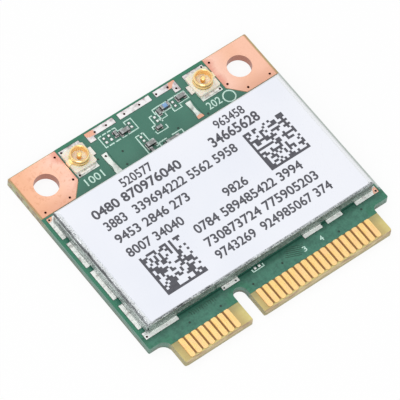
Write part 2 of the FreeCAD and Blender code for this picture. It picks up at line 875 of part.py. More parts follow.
radio_reach = radio_size / 2 + chip_row_gap
inner_places = [(chip_small, radio_x + share * radio_size, radio_y + radio_reach, False)
                for share in (-0.4, -0.2, 0, 0.2, 0.4)]
for side in (-1, 1):
    inner_places += [(chip_small, radio_x + side * radio_reach, radio_y + share * radio_size, True)
                     for share in (-0.36, -0.12, 0.12, 0.36)]
inner_places += [
    (chip_large, amplifier_x_main + loose_chip_gap, amplifier_y - loose_chip_gap, True),
    (chip_large, amplifier_x_second - loose_chip_gap, amplifier_y - loose_chip_gap, True),
    (chip_large, coil_x - coil_width / 2 - chip_row_gap, coil_y, False),
    (chip_large, regulator_x - loose_chip_gap, regulator_y, False),
]
inner_chips("inner_capacitor", inner_places)


# Green lacquer: a film over each face, open at the contacts, the corners and every land
def lacquer(z0, z1):
    film = plate(board_outline(), z0, z1)
    film = film.cut(box(-side_x, side_x, front_y, contact_root_y, z0, z1))
    for side in (-1, 1):
        film = film.cut(plate(corner_outline(side, mask_clearance, 1.0), z0, z1))
    return film


front_pair_y = shield_front_y - land_outside / 2
save("front_bare_lands", bare_pair(-0.7, front_pair_y, True))
windows = [box(min(x0, x1) - mask_clearance, max(x0, x1) + mask_clearance,
               min(y0, y1) - mask_clearance, max(y0, y1) + mask_clearance,
               laminate_top, board_t) for x0, x1, y0, y1 in openings]
save("solder_mask_top", [lacquer(laminate_top, board_t).cut(windows)])
save("solder_mask_bottom", [lacquer(0, laminate_bottom)])
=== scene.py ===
import math
import random

import bpy
from mathutils import Matrix, Vector


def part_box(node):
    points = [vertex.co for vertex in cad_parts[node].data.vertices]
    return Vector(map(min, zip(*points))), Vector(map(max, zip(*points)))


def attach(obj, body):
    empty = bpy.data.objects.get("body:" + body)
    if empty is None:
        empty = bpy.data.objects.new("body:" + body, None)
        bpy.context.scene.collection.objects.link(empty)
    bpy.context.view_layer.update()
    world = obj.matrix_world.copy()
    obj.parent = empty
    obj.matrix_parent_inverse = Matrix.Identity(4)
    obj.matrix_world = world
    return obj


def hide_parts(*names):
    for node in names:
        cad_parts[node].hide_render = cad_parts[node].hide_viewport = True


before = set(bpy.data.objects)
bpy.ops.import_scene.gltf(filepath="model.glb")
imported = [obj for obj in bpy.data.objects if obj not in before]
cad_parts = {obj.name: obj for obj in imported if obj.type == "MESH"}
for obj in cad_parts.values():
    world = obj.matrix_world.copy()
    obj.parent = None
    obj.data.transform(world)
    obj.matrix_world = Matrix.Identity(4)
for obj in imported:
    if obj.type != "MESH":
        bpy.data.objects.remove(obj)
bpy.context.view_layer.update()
mm = 0.001

# Camera: level with nothing on the card, it looks down from the front left through a long lens,
# and leans a little, as the photograph was framed.
camera_place = Vector((-155.79, -157.0, 376.67)) * mm
camera_aim = Vector((-0.68, 0.4626, 1.0)) * mm
camera_roll = math.radians(8.19)
camera_lens = 396.5


def new_object(name, data):
    """An object in the scene, at the origin."""
    item = bpy.data.objects.new(name, data)
    bpy.context.scene.collection.objects.link(item)
    return item


camera_data = bpy.data.cameras.new("camera")
camera_data.lens = camera_lens
camera_data.sensor_width = 36
camera_data.clip_start = 0.01
camera_data.clip_end = 20
camera = new_object("camera", camera_data)
camera_turn = (camera_aim - camera_place).to_track_quat("-Z", "Y").to_matrix().to_4x4()
camera.matrix_world = (Matrix.Translation(camera_place) @ camera_turn
                       @ Matrix.Rotation(camera_roll, 4, "Z"))
bpy.context.scene.camera = camera

# Studio: a white floor that keeps the card's soft shadow, an even white room, and two broad soft
# lamps, one behind the card, which the metal mirrors, and one at the front left.
room_level = 0.62
white = (1, 1, 1, 1)
floor_white = (0.97, 0.97, 0.97, 1)
floor_size = 3.0
floor_drop = 0.02 * mm
floor_glow = 0.9
back_lamp_place, back_lamp_size, back_lamp_power = (-0.12, 0.42, 0.72), 0.6, 1.7
front_lamp_place, front_lamp_size, front_lamp_power = (-0.36, -0.4, 0.42), 0.45, 1.5


class Value:
    """A number, place or colour in a node tree. Sums and comparisons with it make math nodes."""

    def __init__(self, socket):
        self.socket = socket
        self.tree = socket.id_data

    def __add__(self, other):
        return calc("ADD", self, other)

    def __sub__(self, other):
        return calc("SUBTRACT", self, other)

    def __rsub__(self, other):
        return calc("SUBTRACT", other, self)

    def __mul__(self, other):
        return calc("MULTIPLY", self, other)

    def __truediv__(self, other):
        return calc("DIVIDE", self, other)

    def __gt__(self, other):
        return calc("GREATER_THAN", self, other)

    def __lt__(self, other):
        return calc("LESS_THAN", self, other)

    def __abs__(self):
        return calc("ABSOLUTE", self)


def add(tree, kind, inputs=None, **settings):
    """One node, with its settings, and with a value or a link for each input named."""
    node = tree.nodes.new(kind)
    for key, value in settings.items():
        setattr(node, key, value)
    for label, value in (inputs or {}).items():
        if isinstance(value, Value):
            tree.links.new(value.socket, node.inputs[label])
        else:
            node.inputs[label].default_value = value
    return node


def result(kind, inputs, output=0, **settings):
    """What a node gives. It joins the tree that the values among its inputs come from."""
    tree = next(value.tree for value in inputs.values() if isinstance(value, Value))
    return Value(add(tree, kind, inputs, **settings).outputs[output])


def calc(operation, *values):
    """A sum on the values."""
    return result("ShaderNodeMath", dict(enumerate(values)), operation=operation)


def least(first, second):
    """The smaller value."""
    return calc("MINIMUM", first, second)


def most(first, second):
    """The larger value."""
    return calc("MAXIMUM", first, second)


def looked_at(tree):
    """1 for what the camera sees, also in a mirror or through glass, and 0 for what lights things."""
    ray = add(tree, "ShaderNodeLightPath").outputs
    seen, mirrored, through = [Value(ray["Is " + kind + " Ray"])
                               for kind in ("Camera", "Glossy", "Transmission")]
    return most(most(seen, mirrored), through)


world = bpy.data.worlds.new("room")
bpy.context.scene.world = world
world.use_nodes = True
sky = world.node_tree
sky.nodes.clear()
sky_level = result("ShaderNodeMix", {0: looked_at(sky), 2: room_level, 3: 1.0})
sky_light = result("ShaderNodeBackground", {"Color": white, "Strength": sky_level})
add(sky, "ShaderNodeOutputWorld", {"Surface": sky_light})

floor_finish = bpy.data.materials.new("floor_white")
floor_finish.use_nodes = True
ground = floor_finish.node_tree
floor_shader = ground.nodes["Principled BSDF"]
floor_shader.inputs["Base Color"].default_value = floor_white
floor_shader.inputs["Roughness"].default_value = 0.9
floor_shader.inputs["Specular IOR Level"].default_value = 0.0
glow = add(ground, "ShaderNodeEmission", {"Color": white, "Strength": 1.0})
glowing = result("ShaderNodeMixShader", {0: looked_at(ground) * floor_glow,
                                         1: Value(floor_shader.outputs[0]),
                                         2: Value(glow.outputs[0])})
ground.links.new(glowing.socket, ground.nodes["Material Output"].inputs["Surface"])

floor_corners = [(x * floor_size / 2, y * floor_size / 2, 0)
                 for x, y in ((-1, -1), (1, -1), (1, 1), (-1, 1))]
floor_mesh = bpy.data.meshes.new("floor")
floor_mesh.from_pydata(floor_corners, [], [(0, 1, 2, 3)])
floor_mesh.materials.append(floor_finish)
floor = new_object("floor", floor_mesh)
floor.location.z = -floor_drop


def lamp(name, place, size, power):
    """A square soft lamp, turned to the middle of the card."""
    data = bpy.data.lights.new(name, "AREA")
    data.energy = power
    data.size = size
    light = new_object(name, data)
    light.location = place
    light.rotation_euler = (-Vector(place)).to_track_quat("-Z", "Y").to_euler()


lamp("back_lamp", back_lamp_place, back_lamp_size, back_lamp_power)
lamp("front_lamp", front_lamp_place, front_lamp_size, front_lamp_power)

# Circuit board: woven glass in yellow-green resin. It shows bare on the tongues, at the routed
# edges, where its layers run as fine lines, and as dark board in the openings of the lacquer.
sides = {"left": (0, 0), "front": (0, 1), "foot": (0, 2),
         "right": (1, 0), "back": (1, 1), "top": (1, 2)}


def limit(node, side):
    """Where a node of the card ends on one of its sides, in millimetres."""
    end, axis = sides[side]
    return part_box(node)[end][axis] / mm


board_t = limit("solder_mask_top", "top")
side_x = limit("circuit_board", "right")
back_y = limit("circuit_board", "back")
contact_root_y = limit("contacts_top_long", "back")
contact_tip_y = limit("contacts_top_long", "front")
rows = [limit(node, side) for node in ("contacts_top_short", "contacts_top_long")
        for side in ("left", "right")]
half_board_z = 0.5
weave_scale = 0.62
weave_wander = 0.6
bare_rim = 0.12
copper_streaks_y = (5.0, 9.0)


def colour(red, green, blue):
    """A colour as a picture shows it, from 0 to 255, as the renderer needs it."""
    def level(value):
        share = value / 255
        return share / 12.92 if share <= 0.04045 else ((share + 0.055) / 1.055) ** 2.4
    return (level(red), level(green), level(blue), 1.0)


def start_finish(name, roughness, metallic=0.0, more=None):
    """A finish to be built up: its material, its shader and the place on the card in millimetres."""
    finish = bpy.data.materials.new(name)
    finish.use_nodes = True
    tree = finish.node_tree
    shader = tree.nodes["Principled BSDF"]
    for label, value in {"Roughness": roughness, "Metallic": metallic, **(more or {})}.items():
        shader.inputs[label].default_value = value
    spot = Value(add(tree, "ShaderNodeTexCoord").outputs["Object"])
    place = result("ShaderNodeVectorMath", {0: spot, "Scale": 1 / mm}, operation="SCALE")
    return finish, shader, place


def split(place):
    """A place's X, Y and Z."""
    return [Value(part) for part in add(place.tree, "ShaderNodeSeparateXYZ", {0: place}).outputs]


def blend(share, first, second, how="MIX"):
    """A colour between two, by a share that may vary over the piece."""
    return result("ShaderNodeMix", {0: share, 6: first, 7: second}, 2, data_type="RGBA",
                  blend_type=how)


def colours_along(value, stops):
    """Colours along a value, each stop a share and a colour as the renderer needs it."""
    node = add(value.tree, "ShaderNodeValToRGB", {0: value})
    elements = node.color_ramp.elements
    elements[0].position, elements[0].color = stops[0]
    elements[1].position, elements[1].color = stops[-1]
    for share, tint in stops[1:-1]:
        elements.new(share).color = tint
    return Value(node.outputs[0])


def ramp(value, *stops):
    """Colours along a value, each stop a share and a red, green and blue from 0 to 255."""
    return colours_along(value, [(share, colour(*tint)) for share, *tint in stops])


def stretch(place, scale, turn=0.0):
    """The place, stretched along each axis and turned about the vertical."""
    return result("ShaderNodeMapping", {"Vector": place, "Rotation": (0, 0, turn), "Scale": scale})


def cloud(place, scale, detail=3.0, roughness=0.5):
    """Soft random variation, from 0 to 1."""
    return result("ShaderNodeTexNoise", {"Vector": place, "Scale": scale, "Detail": detail,
                                         "Roughness": roughness})


def step(value, low, high):
    """0 below low, 1 above high, and smooth between."""
    return result("ShaderNodeMapRange", {0: value, 1: low, 2: high},
                  interpolation_type="SMOOTHSTEP")


def upward(place):
    """1 where the surface faces up or down, 0 on a wall."""
    normal = Value(add(place.tree, "ShaderNodeNewGeometry").outputs["Normal"])
    return abs(split(normal)[2])


def paint(shader, tint, height=None, depth=0.0):
    """Give a finish its colour and, by a height, relief of the given depth in millimetres."""
    tree = shader.id_data
    tree.links.new(tint.socket, shader.inputs["Base Color"])
    if height is not None:
        bump = result("ShaderNodeBump", {"Height": height, "Distance": depth * mm, "Strength": 1.0})
        tree.links.new(bump.socket, shader.inputs["Normal"])


def dress(finish, *nodes):
    """Give nodes of the card their finish."""
    for node in nodes:
        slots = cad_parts[node].data.materials
        slots.clear()
        slots.append(finish)


laminate, shader, place = start_finish("laminate", 0.5)
at_x, at_y, at_z = split(place)
warp, weft = [result("ShaderNodeTexWave", {"Vector": place, "Scale": weave_scale,
                                           "Distortion": weave_wander}, 1, bands_direction=direction)
              for direction in "XY"]
weave = warp * weft
bare = ramp(cloud(place, 0.5, 2.0), (0.3, 206, 192, 124), (0.7, 220, 204, 130))
bare = blend(weave * 0.12, bare, colour(236, 230, 170))
nearest = abs(at_x - rows[0])
for row_end in rows[1:]:
    nearest = least(nearest, abs(at_x - row_end))
by_row = 1 - step(nearest, 0.1, 1.1)
bare = blend(by_row * 0.6, bare, colour(182, 154, 98))
by_root = step(at_y, contact_root_y - 1.3, contact_root_y - 0.1)
bare = blend(by_root * 0.55, bare, colour(146, 142, 102))
in_openings = blend(cloud(place, 3.0), colour(22, 46, 36), colour(42, 62, 44))
past_root = step(at_y, contact_root_y - 0.02, contact_root_y + 0.02)
top = blend(past_root, bare, in_openings)
at_corner = ((abs(at_x) > limit("ground_pad_right", "left") - bare_rim)
             * (at_y > limit("ground_pad_left", "front") - bare_rim))
rim = ramp(cloud(place, 1.1), (0.35, 188, 150, 112), (0.65, 176, 170, 120))
top = blend(at_corner, top, rim)

fibre = cloud(stretch(place, (0.7, 0.7, 5.0)), 1.0, 4.0, 0.6)
routed = ramp(fibre, (0.35, 80, 115, 101), (0.6, 112, 149, 135))
low_streak = (1 - step(at_z, 0.25, 0.45)) * step(fibre, 0.4, 0.55)
routed = blend(low_streak * 0.7, routed, colour(122, 98, 88))
by_copper = ramp(cloud(place, 1.6, 4.0), (0.38, 140, 116, 98), (0.5, 182, 166, 132),
                 (0.62, 172, 180, 140))
beside_corner = (abs(at_x) > side_x - 0.05) * step(at_y, *copper_streaks_y)
routed = blend(beside_corner * 0.85, routed, by_copper)
tongue_wall = ramp(fibre, (0.3, 146, 136, 98), (0.6, 176, 166, 122))
on_tongue = 1 - step(at_y, contact_root_y - 0.3, contact_root_y + 0.4)
routed = blend(on_tongue, routed, tongue_wall)
bevel = ramp(fibre, (0.35, 160, 132, 106), (0.65, 208, 192, 150))
facing = upward(place)
wall = blend(step(facing, 0.1, 0.4), routed, bevel)
skin = blend(step(facing, 0.9, 0.97), wall, top)

# Gaps between the fingers: the laminate lies a foil's thickness lower there and looks brown,
# in the shade of the gold on either side.
finger_gap_tint = colour(138, 96, 46)
contact_pitch = 0.8
contact_width = 0.6


def in_band(value, low, high):
    """1 where a value lies between two others."""
    return (value > low) * (value < high)


def upper_row_x(at_x, at_z):
    """X of a place, with the underside's fingers brought in line with the upper ones."""
    row_shift = limit("contacts_bottom_long", "left") - rows[2]
    return at_x - (at_z < half_board_z) * row_shift


def across_finger(at_x, at_z):
    """Place across a finger, from 0 at one middle of a gap to 1 at the next. A hundred pitches
    more keep the count above 0."""
    pitches = (upper_row_x(at_x, at_z) - (rows[0] + contact_width / 2)) / contact_pitch
    return calc("FRACT", pitches + 100.5)


off_middle = abs(across_finger(at_x, at_z) - 0.5)
in_gap = off_middle > contact_width / contact_pitch / 2
row_x = upper_row_x(at_x, at_z)
in_row = most(in_band(row_x, rows[0], rows[1]), in_band(row_x, rows[2], rows[3]))
along_row = step(at_y, contact_tip_y - 0.02, contact_tip_y + 0.25) * (at_y < contact_root_y)
skin = blend(in_gap * in_row * along_row, skin, finger_gap_tint)
paint(shader, skin, weave * 0.5, 0.01)
dress(laminate, "circuit_board")

# Solder lacquer: a green coat over copper planes, glossy and a little uneven, brighter where no
# copper lies under it, as along the routed edges, and darkened in front of the shield by a painted
# shadow of its front wall. On the underside it closes the plated holes of the ground plane, whose
# dark dots are painted shade.
lacquer, shader, place = start_finish("green_lacquer", 0.3,
                                      more={"Coat Weight": 0.15, "Coat Roughness": 0.12})
at_x, at_y, at_z = split(place)
notch_x, notch_y, notch_r = -3.85, -10.2, 0.75
row_margin = 0.3
shield_front_y = limit("shield_can", "front")
root_band = (-10.3, -9.4)
front_band = (-9.2, -8.4)
rim_band = (-9.0, -8.7)
tented_band = (-9.4, -9.2)

over_copper = ramp(cloud(place, 0.3, 3.0), (0.3, 50, 110, 92), (0.7, 62, 121, 102))
notch_side = at_x - notch_x
notch_end = most(at_y - notch_y, 0.0)
notch_far = calc("SQRT", notch_side * notch_side + notch_end * notch_end)
edge_gap = least(least(side_x - abs(at_x), back_y - at_y), notch_far - notch_r)
off_rows = 1 - most(in_band(at_x, rows[0] - row_margin, rows[1] + row_margin),
                    in_band(at_x, rows[2] - row_margin, rows[3] + row_margin))
at_root = off_rows * (1 - step(at_y, *root_band))
no_copper = most(at_root, 1 - step(edge_gap, 0.25, 0.75))
tint = blend(no_copper, over_copper, colour(38, 119, 90))
upper_face = at_z > half_board_z
front_strip = upper_face - step(at_y, *front_band)
mottle = ramp(cloud(place, 2.4, 5.0, 0.7), (0.4, 30, 80, 60), (0.5, 64, 120, 96),
              (0.62, 84, 142, 116))
tint = blend(most(front_strip, 0.0) * 0.35, tint, mottle)
right_rim = step(at_x, side_x - 0.3, side_x - 0.1) * step(at_y, *rim_band) * upper_face
tint = blend(right_rim * 0.85, tint, colour(215, 220, 216))

# Painted shadow of the shield's front wall on the lacquer before it: it dulls red a little more than
# green and blue, by how far before the shield it lies
before_shield = shield_front_y - at_y
shield_shadow_stops = ((0.0, 0.28, 0.37), (0.1, 0.4, 0.49), (0.2, 0.6, 0.74), (0.5, 0.59, 0.72),
              (0.65, 0.66, 0.81), (0.85, 0.8, 0.97))
painted_shield_shadow = colours_along(before_shield, [(far, (red, other, other, 1)) for far, red, other in shield_shadow_stops])
in_shield_shadow = upper_face * (before_shield > 0.0)
tint = blend(in_shield_shadow, tint, blend(1.0, tint, painted_shield_shadow, "MULTIPLY"))
tented = result("ShaderNodeTexVoronoi", {"Vector": place, "Scale": 0.7, "Randomness": 0.55},
                "Distance", voronoi_dimensions="2D")
# Painted shade: dark dots over the tented holes on the underside, for the holes under the lacquer.
hole_shade_dots = (1 - step(tented, 0.07, 0.11)) * (1 - upper_face) * step(at_y, *tented_band)
tint = blend(hole_shade_dots, tint, colour(14, 48, 38))
paint(shader, tint, cloud(place, 2.2, 4.0), 0.012)
dress(lacquer, "solder_mask_top", "solder_mask_bottom")


# Traces: thin copper lines under the lacquer, which stands a hair higher over them. They leave
# the front of the shield for the fingers, a comb at the left and a slanting bundle at the right.
def start_tree(name, sizes, finishes=("Finish",)):
    """An empty Geometry Nodes tree with named inputs for its sizes and its finishes."""
    tree = bpy.data.node_groups.new(name, "GeometryNodeTree")
    tree.interface.new_socket("Geometry", in_out="INPUT", socket_type="NodeSocketGeometry")
    tree.interface.new_socket("Geometry", in_out="OUTPUT", socket_type="NodeSocketGeometry")
    for label, value in sizes.items():
        kind = "NodeSocketInt" if isinstance(value, int) else "NodeSocketFloat"
        tree.interface.new_socket(label, in_out="INPUT", socket_type=kind).default_value = value
    for label in finishes:
        tree.interface.new_socket(label, in_out="INPUT", socket_type="NodeSocketMaterial")
    given = tree.nodes.new("NodeGroupInput").outputs
    return tree, {label: Value(given[label]) for label in ("Geometry", *sizes, *finishes)}


def painted(geometry, finish):
    """Geometry with its finish."""
    return result("GeometryNodeSetMaterial", {"Geometry": geometry, "Material": finish})


def end_tree(geometry):
    """Close a tree: its copies made real, and joined to the output."""
    real = result("GeometryNodeRealizeInstances", {0: geometry})
    add(real.tree, "NodeGroupOutput", {0: real})


def on_points(inputs, thing):
    """A copy of a thing on each point of the piece."""
    return result("GeometryNodeInstanceOnPoints", {"Points": inputs["Geometry"], "Instance": thing})


def new_piece(name, points, edges=(), faces=()):
    """A mesh object at the origin, from points in millimetres."""
    mesh = bpy.data.meshes.new(name)
    mesh.from_pydata([Vector(point) * mm for point in points], edges, faces)
    return new_object(name, mesh)


def new_paths(name, paths, z):
    """A piece of bare edges along paths, each a list of (x, y) points."""
    points = []
    edges = []
    for path in paths:
        start = len(points)
        points += [(x, y, z) for x, y in path]
        edges += [(index, index + 1) for index in range(start, len(points) - 1)]
    return new_piece(name, points, edges)


def grow(piece, tree, sizes, finishes):
    """Run a Geometry Nodes tree on a piece, with its lengths given in millimetres, and keep the
    result as the piece's plain mesh."""
    modifier = piece.modifiers.new(tree.name, "NODES")
    modifier.node_group = tree
    given = {label: value if isinstance(value, int) else value * mm
             for label, value in sizes.items()}
    given.update(finishes)
    for item in tree.interface.items_tree:
        if item.item_type == "SOCKET" and item.in_out == "INPUT" and item.name in given:
            modifier[item.identifier] = given[item.name]
    bpy.context.view_layer.update()
    graph = bpy.context.evaluated_depsgraph_get()
    grown = bpy.data.meshes.new_from_object(piece.evaluated_get(graph), depsgraph=graph)
    piece.modifiers.remove(modifier)
    piece.data = grown


def settle(piece):
    """Fix a piece to the card."""
    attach(piece, "root")


line_tree, inputs = start_tree("flat_line", {"Width": 0.1 * mm, "Rise": 0.01 * mm})
curve = result("GeometryNodeMeshToCurve", {0: inputs["Geometry"]})
level = result("GeometryNodeSetCurveNormal", {0: curve}, mode="Z_UP")
section = result("GeometryNodeCurvePrimitiveQuadrilateral",
                 {"Width": inputs["Width"], "Height": inputs["Rise"]})
ribbon = result("GeometryNodeCurveToMesh", {0: level, 1: section, "Fill Caps": True})
end_tree(painted(ribbon, inputs["Finish"]))


def flat_lines(name, paths, width, rise, finish):
    """Flat ribbons on the lacquer, along paths."""
    piece = new_paths(name, paths, board_t)
    grow(piece, line_tree, {"Width": width, "Rise": rise}, {"Finish": finish})
    settle(piece)


trace_width = 0.07
trace_rise = 0.01
comb_x, comb_pitch, comb_jog = -9.3, 0.26, 0.12
comb_start, comb_bend, comb_end, comb_stagger = 0.3, 0.5, 0.8, 0.1
bundle_x, bundle_y = 2.17, -9.6
bundle_pitch_x, bundle_pitch_y = 0.15, 0.17
bundle_run_x, bundle_run_y = 1.6, 0.66
trace_finish, shader, place = start_finish("lacquer_over_gaps", 0.3, more={"Coat Weight": 0.15})
paint(shader, ramp(cloud(place, 1.5), (0.3, 26, 72, 54), (0.7, 44, 94, 74)))

traces = []
for index in range(12):
    x = comb_x + index * comb_pitch
    end_y = shield_front_y - comb_end - comb_stagger * (index % 2)
    traces.append([(x, shield_front_y - comb_start), (x + comb_jog, shield_front_y - comb_bend),
                   (x + comb_jog, end_y)])
for index in range(6):
    x, y = bundle_x + index * bundle_pitch_x, bundle_y + index * bundle_pitch_y
    traces.append([(x, y), (x + bundle_run_x, y - bundle_run_y)])
flat_lines("traces_front", traces, trace_width, trace_rise, trace_finish)

# Tented plated holes on the upper face: the lacquer sinks a little into each, which leaves a small
# dimple in a low rim, and a dark disc in the dimple is a painted shade of the hole.
dimple_tree, inputs = start_tree("tented_hole", {"Radius": 0.2 * mm, "Rise": 0.01 * mm},
                                 ("Rim", "Hollow_shade"))
ring = result("GeometryNodeCurvePrimitiveCircle", {"Resolution": 10, "Radius": inputs["Radius"]})
bead = result("GeometryNodeCurvePrimitiveCircle", {"Resolution": 4, "Radius": inputs["Rise"]})
rim = result("GeometryNodeCurveToMesh", {0: ring, 1: bead})
disc = result("GeometryNodeMeshCircle", {"Vertices": 10, "Radius": inputs["Radius"]},
              fill_type="NGON")
dimple = add(dimple_tree, "GeometryNodeJoinGeometry")
for part in (painted(rim, inputs["Rim"]), painted(disc, inputs["Hollow_shade"])):
    dimple_tree.links.new(part.socket, dimple.inputs[0])
end_tree(on_points(inputs, Value(dimple.outputs[0])))

# Painted shade: the dark lacquer of the discs in the holes.
hole_shade_lacquer, shader, place = start_finish("lacquer_shade_in_holes", 0.35)
paint(shader, ramp(cloud(place, 4.0), (0.3, 12, 44, 34), (0.7, 22, 62, 48)))

dimple_r = 0.13
dimple_rise = 0.008
dimple_lift = 0.004
top_dimples = [(-3.57, 9.36), (-4.1, 7.9), (6.1, 7.93), (-6.13, 10.0), (11.8, -9.6), (-2.2, -10.1),
               (-6.3, -10.2), (0.4, 7.75), (2.6, 8.3), (-9.9, -9.9), (8.4, -10.3), (1.6, -9.9)]
piece = new_piece("tented_holes_top", [(x, y, board_t + dimple_lift) for x, y in top_dimples])
grow(piece, dimple_tree, {"Radius": dimple_r, "Rise": dimple_rise},
     {"Rim": lacquer, "Hollow_shade": hole_shade_lacquer})
settle(piece)

# White print on the lacquer: outlines round the chips by the sockets, and plain numbers by each
# socket and the fingers. It is thin epoxy ink, pale mint where the green shows through.
ink, shader, place = start_finish("board_ink", 0.6)
paint(shader, ramp(cloud(place, 5.0), (0.25, 176, 222, 204), (0.5, 216, 246, 234)))
ink_width = 0.15
ink_rise = 0.012
ink_growth = 0.01
type_size = 1.4


def dashes(x0, x1, y, count):
    """A broken line along X, its gaps a third of its dashes."""
    gap = (x1 - x0) / (4 * count - 1)
    return [[(x0 + 4 * index * gap, y), (x0 + (4 * index + 3) * gap, y)] for index in range(count)]


ink_lines = [
    [(-4.3, 11.99), (-4.67, 11.99), (-4.67, 10.6), (-4.4, 10.6)],
    [(-2.98, 11.99), (-2.6, 11.99), (-2.6, 11.5), (-1.95, 11.5)],
    [(-1.9, 10.6), (-1.5, 10.6), (-0.64, 10.6), (-0.64, 11.99), (-1.5, 11.99), (-1.5, 11.6)],
    [(1.68, 10.3), (1.68, 10.09), (2.59, 10.09), (2.59, 10.5)],
    [(1.68, 10.8), (1.68, 11.48), (2.2, 11.48)], [(1.9, 10.65), (3.6, 10.65)],
    [(2.2, 11.5), (3.6, 11.5), (3.6, 10.75)],
    [(3.5, 11.48), (4.45, 11.48)], [(3.5, 10.5), (3.5, 10.07), (4.45, 10.07), (4.45, 10.4)],
    [(4.38, 11.5), (5.66, 11.5), (5.66, 10.55), (4.38, 10.55)],
    [(0.94, 9.88), (0.94, 10.97), (1.3, 10.97)], [(1.85, 11.1), (1.85, 9.85)],
    [(0.94, 9.88), (0.5, 9.88), (0.5, 9.55)],
    [(0.5, 9.3), (0.5, 8.95), (1.85, 8.95), (1.85, 9.4)],
    [(-1.56, 7.6), (-1.56, 9.9), (-1.1, 9.9)], [(-0.64, 9.9), (-0.64, 8.8), (-0.15, 8.8)],
    [(-0.15, 8.35), (-0.15, 7.88), (-0.45, 7.88)], [(-0.9, 9.9), (-0.64, 9.9)],
    [(-0.03, 7.5), (-0.03, 8.05), (0.95, 8.05)], [(1.6, 8.05), (2.8, 8.05), (2.8, 7.6)],
    [(-1.34, -8.75), (-1.34, -9.07), (-0.04, -9.07), (-0.04, -8.75)],
]
ink_lines += dashes(-4.15, -3.1, 11.99, 2) + dashes(-4.25, -2.05, 10.6, 3)
flat_lines("chip_outlines", ink_lines, ink_width, ink_rise, ink)


def plain_number(name, digits, x0, x1, y, z, height, growth, finish):
    """Digits as a flat mesh that fills a box: from x0 to x1, and of a height round y."""
    words = bpy.data.curves.new(name, "FONT")
    words.body = digits
    words.size = type_size * height * mm
    words.offset = growth * mm
    words.resolution_u = 3
    written = new_object(name, words)
    bpy.context.view_layer.update()
    graph = bpy.context.evaluated_depsgraph_get()
    mesh = bpy.data.meshes.new_from_object(written.evaluated_get(graph), depsgraph=graph)
    bpy.data.objects.remove(written)
    mesh.materials.clear()
    mesh.materials.append(finish)
    spots = [vertex.co.copy() for vertex in mesh.vertices]
    low = [min(spot[axis] for spot in spots) for axis in (0, 1)]
    high = [max(spot[axis] for spot in spots) for axis in (0, 1)]
    for vertex in mesh.vertices:
        across_x = (vertex.co.x - low[0]) / (high[0] - low[0])
        across_y = (vertex.co.y - low[1]) / (high[1] - low[1]) - 0.5
        vertex.co = Vector((x0 + across_x * (x1 - x0), y + across_y * height, z)) * mm
    settle(new_object(name, mesh))


ink_z = board_t + ink_rise / 2
for name, digits, x0, x1, y, height in (("socket_number_main", "1001", -8.78, -6.62, 8.5, 0.9),
                                        ("socket_number_second", "202", 6.5, 8.15, 8.58, 0.88),
                                        ("finger_number_left", "3", 4.2, 4.6, -9.9, 0.6),
                                        ("finger_number_right", "4", 6.3, 6.7, -9.9, 0.6)):
    plain_number(name, digits, x0, x1, y, ink_z, height, ink_growth, ink)

mark_x, mark_y, mark_r, mark_steps = 9.1, 8.35, 0.66, 32
turns = [math.tau * index / mark_steps for index in range(mark_steps + 1)]
circle = [(mark_x + mark_r * math.cos(turn), mark_y + mark_r * math.sin(turn)) for turn in turns]
flat_lines("plain_ring_mark", [circle], ink_width, ink_rise, ink)

# Ground corners: bare copper foil on both faces and down the wall of each screw hole. It is satin,
# with fine streaks from the rolling. Soft slanting bands of painted sheen run across it, paler
# towards the middle of the card, with painted shade at its low end, and its walls down the hole are
# painted pinker and darker, a painted shade.
copper, shader, place = start_finish("copper", 0.38, 0.75)
at_x, at_y, _ = split(place)
sheen_and_rolling_turn = math.radians(38)
sheen_swing = 4.0
foil_start_x, foil_width, patch_end_x = 9.4, 5.4, 9.0
pale_band = (11.8, 13.6)
low_band = (7.8, 9.6)
# Painted sheen: soft slanting bands, paler towards the middle of the card.
sheen_bands = cloud(stretch(place, (0.12, 0.5, 0.5), sheen_and_rolling_turn), 1.0, 3.0, 0.45)
from_middle = abs(at_x)
outward = (from_middle + (sheen_bands - 0.5) * sheen_swing - foil_start_x) / foil_width
tint = ramp(outward, (0.0, 222, 160, 142), (0.13, 238, 194, 175), (0.45, 236, 186, 160),
            (0.9, 228, 174, 142))
tint = blend(step(at_x, *pale_band), tint, colour(238, 188, 164))
# Painted shade: darker at the low end.
low_end_shade = 1 - step(at_y, *low_band)
tint = blend(low_end_shade * 0.6, tint, colour(216, 160, 134))
stained = step(cloud(place, 2.6, 6.0, 0.7), 0.52, 0.64) * ((at_x < 0.0) * 0.3 + 0.06)
tint = blend(stained, tint, colour(204, 136, 100))
tint = blend(from_middle < patch_end_x, tint, colour(222, 167, 142))
outer_rim = step(from_middle, side_x - 0.36, side_x - 0.2)
tint = blend(outer_rim * 0.7, tint, colour(196, 150, 110))
# Painted shade: the walls down the hole are darker and pinker than the faces.
tint = blend(step(upward(place), 0.2, 0.9), colour(178, 122, 104), tint)
paint(shader, tint, cloud(stretch(place, (1.0, 14.0, 1.0), sheen_and_rolling_turn), 1.0), 0.002)
dress(copper, "ground_pad_left", "ground_pad_right")

# Fingers: hard gold over nickel, with fine lengthwise scratches from the slot's springs and a few
# specks. The left edge of each face and the walls of the fingers are painted darker, a painted shade.
gold, shader, place = start_finish("gold", 0.34, 0.8)
at_x, at_y, at_z = split(place)
scratch = cloud(stretch(place, (16.0, 0.8, 1.0)), 1.0)
tint = ramp(scratch, (0.3, 234, 190, 116), (0.5, 243, 206, 134), (0.75, 250, 224, 160))
blush = step(cloud(place, 1.3, 2.0), 0.5, 0.6)
tint = blend(blush * 0.35, tint, colour(246, 196, 152))
